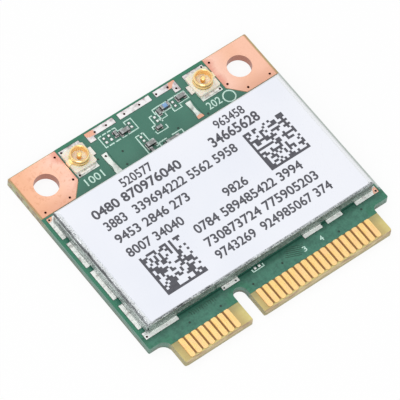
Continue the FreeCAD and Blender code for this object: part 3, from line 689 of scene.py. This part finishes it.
# Painted shade along the left edge of each finger's face.
left_edge_shade = (1 - step(across_finger(at_x, at_z), 0.13, 0.26)) * (upward(place) > 0.5)
tint = blend(left_edge_shade * 0.7, tint, colour(186, 128, 62))
at_tip = 1 - step(at_y, contact_tip_y + 0.2, contact_tip_y + 1.4)
tint = blend(at_tip * 0.4, tint, colour(244, 208, 150))
specks = step(cloud(place, 9.0, 1.0), 0.64, 0.7)
tint = blend(specks * 0.45, tint, colour(206, 146, 92))
# Painted shade: the walls of the fingers darker than their faces.
tint = blend(step(upward(place), 0.3, 0.9), colour(150, 96, 40), tint)
paint(shader, tint, scratch, 0.002)
dress(gold, "contacts_top_short", "contacts_top_long", "contacts_bottom_short",
      "contacts_bottom_long")

# Tinned lands: copper under a skin of solder that flowed and froze, so it is uneven, satin, and
# mottled: pinkish grey on the strips by the sockets and duller beside the shield. The lands in front
# of the shield are painted bright, painted light that makes up for the shield's shade there, and the
# tops of the solder domes behind the shield are painted near white, a painted highlight.
tin, shader, place = start_finish("tin", 0.4, 0.15)
_, at_y, at_z = split(place)
waist_band = (10.3, 10.6)
back_band = (7.2, 7.5)
front_lands_band = (-8.62, -8.52)
dome_band = (1.04, 1.08)
flow = cloud(place, 2.6, 4.0, 0.6)
broad = cloud(place, 1.0, 2.0) * 0.7 + flow * 0.3
strip_tint = ramp(broad, (0.38, 176, 164, 166), (0.47, 222, 216, 217), (0.55, 244, 242, 242))
side_tint = ramp(flow, (0.34, 192, 188, 184), (0.43, 224, 228, 223), (0.52, 248, 249, 245))
# Painted light: the lands in front of the shield, in its shade, are painted brighter.
front_painted_light = ramp(flow, (0.32, 216, 210, 208), (0.44, 250, 252, 249))
waist_tint = ramp(broad, (0.38, 176, 180, 174), (0.47, 214, 222, 215), (0.55, 238, 244, 238))
strip_tint = blend(step(at_y, *waist_band), waist_tint, strip_tint)
behind_shield = step(at_y, *back_band)
tint = blend(behind_shield, side_tint, strip_tint)
in_front = 1 - step(at_y, *front_lands_band)
tint = blend(in_front, tint, front_painted_light)
# Painted highlight: the tops of the solder domes painted near white.
dome_top_highlight = step(at_z, *dome_band)
tint = blend(dome_top_highlight * behind_shield, tint, colour(240, 248, 244))
paint(shader, tint, flow, 0.02)
dress(tin, "edge_pad_left", "edge_pad_middle", "edge_pad_right", "side_strip_left",
      "side_strip_right", "shield_pads_front", "shield_pads_back", "shield_pads_left",
      "shield_pads_right", "antenna_pads_main", "antenna_pads_second", "chip_lands",
      "front_bare_lands")

# Open plated holes in the lands and the copper corners: a thin tinned rim round a dark disc over the
# mouth, a painted shade of the hole. Each is placed from its land's low corner where a number is
# positive, and else from its high corner.
hole_r = 0.135
hole_rise = 0.012
hole_lift = 0.006
land_top = limit("edge_pad_left", "top")
# Painted shade: a dark, unshining disc over each hole's mouth.
hole_shade_finish, shader, place = start_finish("hole_mouth_shade", 0.8, more={"Specular IOR Level": 0.0})
paint(shader, ramp(cloud(place, 6.0), (0.3, 38, 10, 8), (0.7, 70, 24, 16)))

copper_holes = {"ground_pad_left": [(-0.4, -0.6), (-0.4, 1.88), (-1.9, 0.4), (0.64, 0.4)],
                "ground_pad_right": [(0.4, -0.6), (0.4, 1.88), (1.9, 0.4), (-0.64, 0.4)]}
tin_holes = {"edge_pad_left": [(1.08, -0.38), (-1.02, -0.38)],
             "edge_pad_middle": [(0.7, -0.38), (-1.4, -0.38)],
             "edge_pad_right": [(0.18, -0.38), (-1.02, -0.38), (-0.36, -0.98)],
             "side_strip_left": [(0.3, -0.36)],
             "antenna_pads_main": [(0.22, 0.22), (0.22, -0.22)],
             "antenna_pads_second": [(-0.22, 0.22), (-0.22, -0.22)],
             "shield_pads_front": [(0.22, 0.22), (-0.22, 0.22)],
             "shield_pads_back": [(0.22, -0.22), (-0.22, -0.22)]}
for name, lands, z, rim_finish, slot in (
        ("open_holes_copper", copper_holes, board_t, copper, "copper"),
        ("open_holes_tinned", tin_holes, land_top, tin, "tin")):
    holes = [(limit(land, "left" if x >= 0 else "right") + x,
              limit(land, "front" if y >= 0 else "back") + y, z + hole_lift)
             for land, places in lands.items() for x, y in places]
    piece = new_piece(name, holes)
    grow(piece, dimple_tree, {"Radius": hole_r, "Rise": hole_rise},
         {"Rim": rim_finish, "Hollow_shade": hole_shade_finish})
    settle(piece)

# Bare copper: the solder drew back from a corner of some lands and left the foil showing. Each
# patch is drawn from that corner of its land.
patch_t = 0.002
patch_z = land_top + patch_t
strip_width = limit("side_strip_right", "right") - limit("side_strip_right", "left")


def plates(name, outlines, low, high, finish):
    """Thin closed plates from one height to another, each from its corners, counter-clockwise."""
    points = []
    faces = []
    for corners in outlines:
        first, count = len(points), len(corners)
        points += [(x, y, high) for x, y in corners] + [(x, y, low) for x, y in corners]
        faces += [tuple(range(first, first + count)),
                  tuple(reversed(range(first + count, first + 2 * count)))]
        faces += [(first + index, first + count + index, first + count + (index + 1) % count,
                   first + (index + 1) % count) for index in range(count)]
    piece = new_piece(name, points, (), faces)
    piece.data.materials.append(finish)
    return piece


for name, land, side, end, outline in (
        ("bare_copper_left", "edge_pad_left", "left", "back",
         [(0, -0.4), (0.3, -0.6), (1.0, -0.6), (1.1, -0.1), (0.85, 0), (0, 0)]),
        ("bare_copper_right", "edge_pad_right", "right", "back",
         [(-1.1, -0.68), (-0.68, -0.68), (-0.3, -0.3), (0, -0.18), (0, 0), (-0.7, 0),
          (-0.95, -0.4)]),
        ("bare_copper_strip", "side_strip_right", "left", "front",
         [(0, 0), (strip_width, 0), (strip_width, 0.3), (strip_width - 0.3, 0.45), (0, 0.36)]),
        ("bare_copper_front", "shield_pads_front", "right", "front",
         [(-0.62, 0), (0, 0), (0, 0.66), (-0.36, 0.6), (-0.5, 0.34)]),
        ("bare_copper_back", "shield_pads_back", "left", "back",
         [(0, -0.5), (0.4, -0.4), (0.7, 0), (0, 0)])):
    corner_x, corner_y = limit(land, side), limit(land, end)
    shifted = [(corner_x + x, corner_y + y) for x, y in outline]
    settle(plates(name, [shifted], patch_z, patch_z + patch_t, copper))

# Lacquer on the strips: the coat laps over the sides of both side strips, which narrows them at
# the waist. Each lap is drawn from its side of the strip.
lap_z = patch_z + 2 * patch_t
laps = []
for strip, side, outline in (
        ("side_strip_left", "right",
         [(0, 10.2), (-0.08, 10.2), (-0.15, 9.8), (-0.16, 8.9), (-0.06, 8.0), (0, 7.7)]),
        ("side_strip_left", "left", [(0, 8.0), (0.05, 8.15), (0.12, 8.5), (0.05, 8.9), (0, 9.2)]),
        ("side_strip_right", "right",
         [(0, 10.2), (-0.08, 10.2), (-0.18, 9.55), (-0.2, 8.9), (-0.06, 8.3), (0, 8.1)]),
        ("side_strip_right", "left", [(0, 8.2), (0.06, 8.5), (0.1, 8.9), (0.05, 9.5), (0, 9.8)])):
    laps.append([(limit(strip, side) + x, y) for x, y in outline])
settle(plates("lacquer_laps", laps, lap_z, lap_z + patch_t, lacquer))

# Solder fillets: solder that wetted a land and drew up the sheet above it, and froze as a
# rounded, slightly lumpy bead along each foot of the shield.
bead_r = 0.045
bead_inset = 0.1
bead_reach = 0.02
bead_step = 0.18 * mm
lump_size = 0.04 * mm
lump_scale = 2200.0
foot_end = 0.3
shield_x0, shield_x1 = limit("shield_can", "left"), limit("shield_can", "right")
shield_y0, shield_y1 = limit("shield_can", "front"), limit("shield_can", "back")
feet_z = limit("shield_can", "foot")

bead_tree, inputs = start_tree("solder_bead", {"Radius": 0.18 * mm, "Floor": 1.0 * mm})
curve = result("GeometryNodeMeshToCurve", {0: inputs["Geometry"]})
fine = result("GeometryNodeResampleCurve", {0: curve, "Length": bead_step}, mode="LENGTH")
section = result("GeometryNodeCurvePrimitiveCircle", {"Resolution": 10, "Radius": inputs["Radius"]})
bead = result("GeometryNodeCurveToMesh", {0: fine, 1: section, "Fill Caps": True})
here = Value(add(bead_tree, "GeometryNodeInputPosition").outputs[0])
wander = result("ShaderNodeTexNoise", {"Vector": here, "Scale": lump_scale}, 1)
lump = result("ShaderNodeVectorMath", {0: wander, 1: (0.5, 0.5, 0.5)}, operation="SUBTRACT")
lump = result("ShaderNodeVectorMath", {0: lump, "Scale": lump_size}, operation="SCALE")
at_x, at_y, at_z = split(result("ShaderNodeVectorMath", {0: here, 1: lump}, operation="ADD"))
place_on = result("ShaderNodeCombineXYZ", {0: at_x, 1: at_y, 2: most(at_z, inputs["Floor"])})
lumpy = result("GeometryNodeSetPosition", {0: bead, "Position": place_on})
soft = result("GeometryNodeSetShadeSmooth", {0: lumpy})
end_tree(painted(soft, inputs["Finish"]))


def feet(start, end, gaps):
    """The stretches of a wall between its gaps, each gap a (share of the wall, width)."""
    ends = [start + foot_end]
    for share, gap in gaps:
        middle = start + share * (end - start)
        ends += [middle - gap / 2, middle + gap / 2]
    ends.append(end - foot_end)
    return list(zip(ends[::2], ends[1::2]))


front_gaps = [(0.225, 5.5), (0.538, 8.15), (0.774, 0.65), (0.884, 1.75)]
back_gaps = [(0.197, 3.9), (0.521, 7.0), (0.803, 3.9)]
side_gaps = [(0.043, 0.55), (0.292, 0.8), (0.58, 0.6), (0.83, 0.6)]
bead_lines = []
for y, gaps in ((shield_y0 + bead_reach, front_gaps), (shield_y1 - bead_reach, back_gaps)):
    bead_lines += [[(x0 + bead_inset, y), (x1 - bead_inset, y)]
                   for x0, x1 in feet(shield_x0, shield_x1, gaps)]
for x in (shield_x0 + bead_reach, shield_x1 - bead_reach):
    bead_lines += [[(x, y0 + bead_inset), (x, y1 - bead_inset)]
                   for y0, y1 in feet(shield_y0, shield_y1, side_gaps)[1:]]
piece = new_paths("shield_solder", bead_lines, feet_z)
grow(piece, bead_tree, {"Radius": bead_r, "Floor": feet_z}, {"Finish": tin})
settle(piece)

# Solder on the bare lands, where no part is fitted: the printed paste melted there into a small
# bright dome on each land.
dome_r = 0.14
dome_rise = 0.07
half_pair = 0.25
row_inset = 2.29
dome_tree, inputs = start_tree("solder_dome", {"Radius": 0.1 * mm, "Rise": 0.1 * mm})
ball = Value(add(dome_tree, "GeometryNodeMeshUVSphere",
                 {"Segments": 12, "Rings": 8, "Radius": 1.0}).outputs[0])
form = result("ShaderNodeCombineXYZ", {0: inputs["Radius"], 1: inputs["Radius"],
                                       2: inputs["Rise"]})
dome = result("GeometryNodeTransform", {0: ball, "Scale": form})
soft = result("GeometryNodeSetShadeSmooth", {0: dome})
end_tree(painted(on_points(inputs, soft), inputs["Finish"]))

row_y = back_y - row_inset
bare_pairs = [(-4.26, row_y + 0.29), (-3.65, row_y + 0.29), (-1.13, row_y + 0.31),
              (3.95, row_y - 0.24), (1.4, row_y - 0.62), (-1.1, row_y - 1.7)]
domes = [(x, y + side * half_pair) for x, y in bare_pairs for side in (-1, 1)]
domes += [(-0.7 + side * half_pair, shield_front_y - 0.2) for side in (-1, 1)]
piece = new_piece("bare_land_solder", [(x, y, limit("chip_lands", "top")) for x, y in domes])
grow(piece, dome_tree, {"Radius": dome_r, "Rise": dome_rise}, {"Finish": tin})
settle(piece)

# Shield: tinned sheet steel. Its walls are streaked along the fold by the press and speckled with
# flux; its top shows only as a pale margin round the label. Along the bend runs painted light: a
# painted highlight line down the wall below it and a dark painted reflection on the bend, from a ramp
# of its own for the left, the front and the far walls, as each is lit.
shield_tin, shader, place = start_finish("shield_tin", 0.4, 0.5)
at_x, at_y, at_z = split(place)
run_along = cloud(stretch(place, (0.25, 0.25, 4.5)), 1.0, 4.0, 0.7)
fine = cloud(stretch(place, (1.3, 1.3, 13.0)), 1.0, 3.0, 0.7)
from_left = at_x - shield_x0
from_front = at_y - shield_y0
near_seen = least(from_left, from_front)
near_far = least(shield_x1 - at_x, shield_y1 - at_y)
past_bend = least(near_seen, near_far) - (limit("shield_can", "top") - at_z)
wall_foot = -1.6
wall_span = 2.2
bend_shake = 0.1
streak_swing = 1.9
rough_swing = 2.2
rough_band = (0.0, 5.0)


def across(*stops):
    """Stops given by how far past the bend they lie, in millimetres: below 0 down the wall."""
    return [((far - wall_foot) / wall_span, *tint) for far, *tint in stops]


# Painted light across each wall: a highlight line below the bend and a dark reflection on it, with a
# ramp of its own for each wall as it is lit.
where = (past_bend + (fine - 0.5) * bend_shake - wall_foot) / wall_span
left_wall_lit = ramp(where, *across(
    (wall_foot, 194, 202, 200), (-0.75, 198, 206, 204), (-0.5, 230, 236, 235), (-0.3, 230, 236, 235),
    (-0.16, 126, 130, 131), (0.12, 118, 121, 123), (0.2, 184, 187, 189), (0.3, 210, 213, 215),
    (0.5, 222, 225, 228)))
front_wall_lit = ramp(where, *across(
    (wall_foot, 182, 198, 189), (-1.2, 172, 188, 179), (-0.45, 160, 174, 168), (-0.2, 152, 164, 160),
    (-0.05, 184, 193, 191), (0.06, 164, 171, 171), (0.17, 188, 192, 194), (0.26, 206, 209, 211)))
far_wall_lit = ramp(where, *across(
    (wall_foot, 160, 168, 166), (-0.1, 196, 201, 200), (0.02, 222, 225, 226), (0.12, 226, 228, 230),
    (0.3, 228, 230, 233)))
tint = blend(from_left < from_front, front_wall_lit, left_wall_lit)
is_far = near_far < near_seen
tint = blend(is_far, tint, far_wall_lit)
rough_half = 1 - step(at_x, *rough_band)
swing = rough_half * rough_swing + streak_swing
on_seen_wall = (1 - is_far) * (1 - step(past_bend, 0.12, 0.3))
streaks = (run_along - 0.5 + (fine - 0.5)) * (swing * on_seen_wall)
tint = result("ShaderNodeVectorMath", {0: tint, "Scale": streaks + 1.0}, operation="SCALE")
rarer = most(past_bend, 0.0) * 0.3 + 0.5
dots = step(cloud(place, 9.0, 1.0) - rarer, 0.0, 0.03) * (1 - is_far)
tint = blend(dots * 0.7, tint, colour(70, 74, 76))
paint(shader, tint, run_along, 0.02)
dress(shield_tin, "shield_can")

# Label: white coated paper, glued on the shield, with square cut edges and small round corners.
# The print stands for the maker's text, which is left off: rows of plain random numbers, and two
# blocks of random squares.
print_z = limit("label", "top")
print_rise = 0.003
corner_r = 0.18
paper, shader, place = start_finish("paper", 0.42)
tint = ramp(cloud(place, 0.12, 2.0), (0.3, 238, 241, 250), (0.7, 244, 246, 253))
paint(shader, tint, cloud(place, 18.0, 2.0), 0.0015)

left, right = limit("label", "left") + corner_r, limit("label", "right") - corner_r
front, back = limit("label", "front") + corner_r, limit("label", "back") - corner_r
corners = []
for x, y, start in ((right, back, 0), (left, back, 90), (left, front, 180), (right, front, 270)):
    turns = [math.radians(start + turn) for turn in (0, 30, 60, 90)]
    corners += [(x + corner_r * math.cos(turn), y + corner_r * math.sin(turn)) for turn in turns]
piece = plates("label_sheet", [corners], limit("label", "foot"), print_z - print_rise, paper)
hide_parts("label")
settle(piece)

print_ink, shader, place = start_finish("print_ink", 0.5)
paint(shader, ramp(cloud(place, 3.0), (0.3, 70, 70, 78), (0.7, 84, 84, 92)))

# Each row of plain numbers is (first x, last x, middle y, height, and how much its strokes grow)
print_rows = [(-6.7, -2.9, 5.7, 1.05, 0.03), (5.0, 8.6, 5.7, 1.05, 0.03),
              (-11.2, -0.4, 4.3, 1.15, 0.045), (3.4, 9.4, 4.3, 1.25, 0.045),
              (-10.9, -8.4, 2.6, 1.1, 0.035), (-7.4, 5.3, 2.6, 1.1, 0.035),
              (-10.9, -2.0, 0.85, 1.1, 0.035), (-10.9, -4.1, -1.0, 1.1, 0.035),
              (1.0, 3.85, -1.0, 1.1, 0.035), (-3.9, 9.4, -2.7, 1.1, 0.035),
              (-3.9, 9.95, -4.5, 1.1, 0.035), (-3.9, 0.9, -6.2, 1.1, 0.035),
              (1.7, 10.4, -6.2, 1.1, 0.035)]
digit_pitch = 0.62
group = 5
gap_chance = 0.6
chance = random.Random(23)
for row, (x0, x1, y, height, growth) in enumerate(print_rows, start=1):
    count = round((x1 - x0) / (digit_pitch * height))
    digits = "".join(" " if count > 8 and spot % group == group - 1 and chance.random() < gap_chance
                     else chance.choice("023456789") for spot in range(count))
    plain_number("label_numbers_" + str(row), digits, x0, x1, y, print_z, height, growth,
                 print_ink)

code_size = 4.9
code_cells = 18
code_tree, inputs = start_tree("square_code", {"Size": code_size * mm, "Cells": code_cells,
                                               "Seed": 1})
lines = inputs["Cells"] + 1.0
grid = result("GeometryNodeMeshGrid", {"Size X": inputs["Size"], "Size Y": inputs["Size"],
                                       "Vertices X": lines, "Vertices Y": lines})
middle = Value(add(code_tree, "GeometryNodeInputPosition").outputs[0])
at_x, at_y, _ = split(middle)
border = inputs["Size"] / inputs["Cells"] - inputs["Size"] * 0.5
solid = most(at_x < border, at_y < border)
toss = result("FunctionNodeRandomValue", {"Probability": 0.5, "Seed": inputs["Seed"]}, 3,
              data_type="BOOLEAN")
punched = result("GeometryNodeDeleteGeometry", {0: grid, "Selection": 1 - most(solid, toss)},
                 domain="FACE")
end_tree(painted(on_points(inputs, punched), inputs["Finish"]))
for name, x, y, seed in (("square_code_right", 9.0, 0.75, 4), ("square_code_left", -7.95, -4.55, 9)):
    piece = new_piece(name, [(x, y, print_z)])
    grow(piece, code_tree, {"Size": code_size, "Cells": code_cells, "Seed": seed},
         {"Finish": print_ink})
    settle(piece)

# Antenna sockets: a moulded off-white base, a drawn gold-plated ring and a gold pin. The ring's
# inside is painted a brighter orange, a painted reflection of gold in gold, its groove is painted
# dark, a painted shade, and its legs are covered by their solder. The base's floor inside the ring is
# painted paler, painted light in the ring's shade.
main_x, second_x = [(limit(base, "left") + limit(base, "right")) / 2
                    for base in ("antenna_socket_main_base", "antenna_socket_second_base")]
socket_row_y = (limit("antenna_socket_main_base", "front")
                + limit("antenna_socket_main_base", "back")) / 2
ring_in_r = 0.83
groove_r = 0.9
groove_z = 1.82
tab_start_x, tab_top_z = 1.03, 1.49
leg_start_y = 1.22


def from_sockets(place):
    """How far a place is from the middle of its socket: along X, along Y, round, and its height."""
    at_x, at_y, at_z = split(place)
    along_x = least(abs(at_x - main_x), abs(at_x - second_x))
    along_y = abs(at_y - socket_row_y)
    return along_x, along_y, calc("SQRT", along_x * along_x + along_y * along_y), at_z


plastic, shader, place = start_finish("socket_plastic", 0.4,
                                      more={"Subsurface Weight": 0.15, "Subsurface Scale": 0.3 * mm})
round_far = from_sockets(place)[2]
tint = ramp(cloud(place, 1.2), (0.3, 238, 228, 210), (0.7, 250, 244, 232))
# Painted light: the base's floor inside the ring, in the ring's shade, painted paler.
tint = blend(round_far < ring_in_r + 0.02, tint, colour(255, 252, 236))
paint(shader, tint, cloud(place, 6.0), 0.004)

socket_gold, shader, place = start_finish("socket_gold", 0.2)
off_x, off_y, round_far, height = from_sockets(place)
tint = ramp(cloud(place, 2.0, 2.0), (0.3, 240, 204, 136), (0.6, 250, 224, 168))
# Painted reflection: the ring's inside painted brighter orange and less metallic, for gold mirrored
# in gold.
inside_reflection = round_far < ring_in_r + 0.03
tint = blend(inside_reflection, tint, colour(255, 214, 140))
# Painted shade: a dark band round the ring at its groove.
groove_shade = in_band(height, groove_z - 0.07, groove_z + 0.05) * (round_far > groove_r)
tint = blend(groove_shade * 0.8, tint, colour(124, 74, 26))
on_tab = (off_x > tab_start_x) * (height < tab_top_z)
tint = blend(on_tab, tint, colour(240, 226, 190))
solder_tint = ramp(cloud(place, 3.0, 4.0), (0.35, 190, 184, 178), (0.6, 240, 238, 232))
tint = blend(off_y > leg_start_y, tint, solder_tint)
paint(shader, tint, cloud(stretch(place, (1.0, 1.0, 8.0)), 2.0), 0.004)
place.tree.links.new((0.9 - inside_reflection * 0.5).socket, shader.inputs["Metallic"])

pin_gold, shader, place = start_finish("pin_gold", 0.3, 0.7)
height = split(place)[2]
pin_neck_z = (1.2, 1.45)
pin_tip_z = (1.8, 2.0)
tint = blend(step(height, *pin_neck_z), colour(226, 222, 214), colour(240, 178, 88))
tint = blend(step(height, *pin_tip_z), tint, colour(250, 220, 150))
paint(shader, tint, cloud(place, 5.0), 0.004)
for socket in ("main", "second"):
    dress(plastic, "antenna_socket_" + socket + "_base")
    dress(socket_gold, "antenna_socket_" + socket + "_shell")
    dress(pin_gold, "antenna_socket_" + socket + "_pin")

# Chip parts beside the sockets: fired ceramic with barium grey-brown faces, one coated blue, all with
# tinned silver end caps. Their sides are painted dark, a painted shade.
ceramic, shader, place = start_finish("ceramic", 0.45)
tint = ramp(cloud(place, 5.0, 4.0), (0.3, 122, 122, 120), (0.7, 160, 164, 162))
# Painted shade: the sides darker than the tops.
tint = blend(upward(place), colour(52, 50, 52), tint)
paint(shader, tint, cloud(place, 14.0), 0.006)
dress(ceramic, "capacitor_bodies", "antenna_filter_body", "balun_bodies", "band_filter_bodies",
      "inner_capacitor_bodies", "crystal_base")

blue_ferrite, shader, place = start_finish("blue_ferrite", 0.3)
tint = ramp(cloud(place, 4.0), (0.3, 104, 146, 196), (0.7, 140, 178, 220))
# Painted shade: the sides darker than the tops.
tint = blend(upward(place), colour(70, 80, 100), tint)
paint(shader, tint, cloud(place, 12.0), 0.006)
dress(blue_ferrite, "inductor_body")

cap_tin, shader, place = start_finish("cap_tin", 0.3, 0.7)
tint = ramp(cloud(place, 6.0), (0.35, 126, 126, 126), (0.65, 186, 188, 188))
# Painted shade: the sides darker than the tops.
tint = blend(upward(place), colour(96, 92, 94), tint)
paint(shader, tint, cloud(place, 8.0), 0.01)
dress(cap_tin, "capacitor_ends", "inductor_ends", "antenna_filter_ends", "balun_ends",
      "band_filter_ends", "inner_capacitor_ends", "power_coil_ends")

# Chips under the shield: black compound with a fine matt grain, moulded round the silicon, and
# tinned copper leads, which are soldered to the board.
mould, shader, place = start_finish("mould_black", 0.55)
tint = ramp(cloud(place, 9.0), (0.3, 30, 30, 33), (0.7, 46, 46, 50))
paint(shader, tint, cloud(place, 20.0), 0.006)
dress(mould, "radio_chip_body", "amplifier_main_body", "amplifier_second_body",
      "memory_chip_body", "regulator_body", "power_coil_body")
dress(cap_tin, "radio_chip_leads", "radio_chip_heat_land", "amplifier_main_leads",
      "amplifier_second_leads", "memory_chip_leads", "regulator_leads", "crystal_leads")

# Crystal: a lid of brushed metal on the ceramic base, seam-welded round its edge to keep the
# quartz from the air.
can_metal, shader, place = start_finish("can_metal", 0.3, 0.85)
brushed = cloud(stretch(place, (1.0, 16.0, 1.0)), 1.0)
paint(shader, ramp(brushed, (0.3, 176, 172, 164), (0.7, 214, 210, 202)), brushed, 0.004)
dress(can_metal, "crystal_lid")

bpy.context.scene.view_settings.view_transform = "Standard"
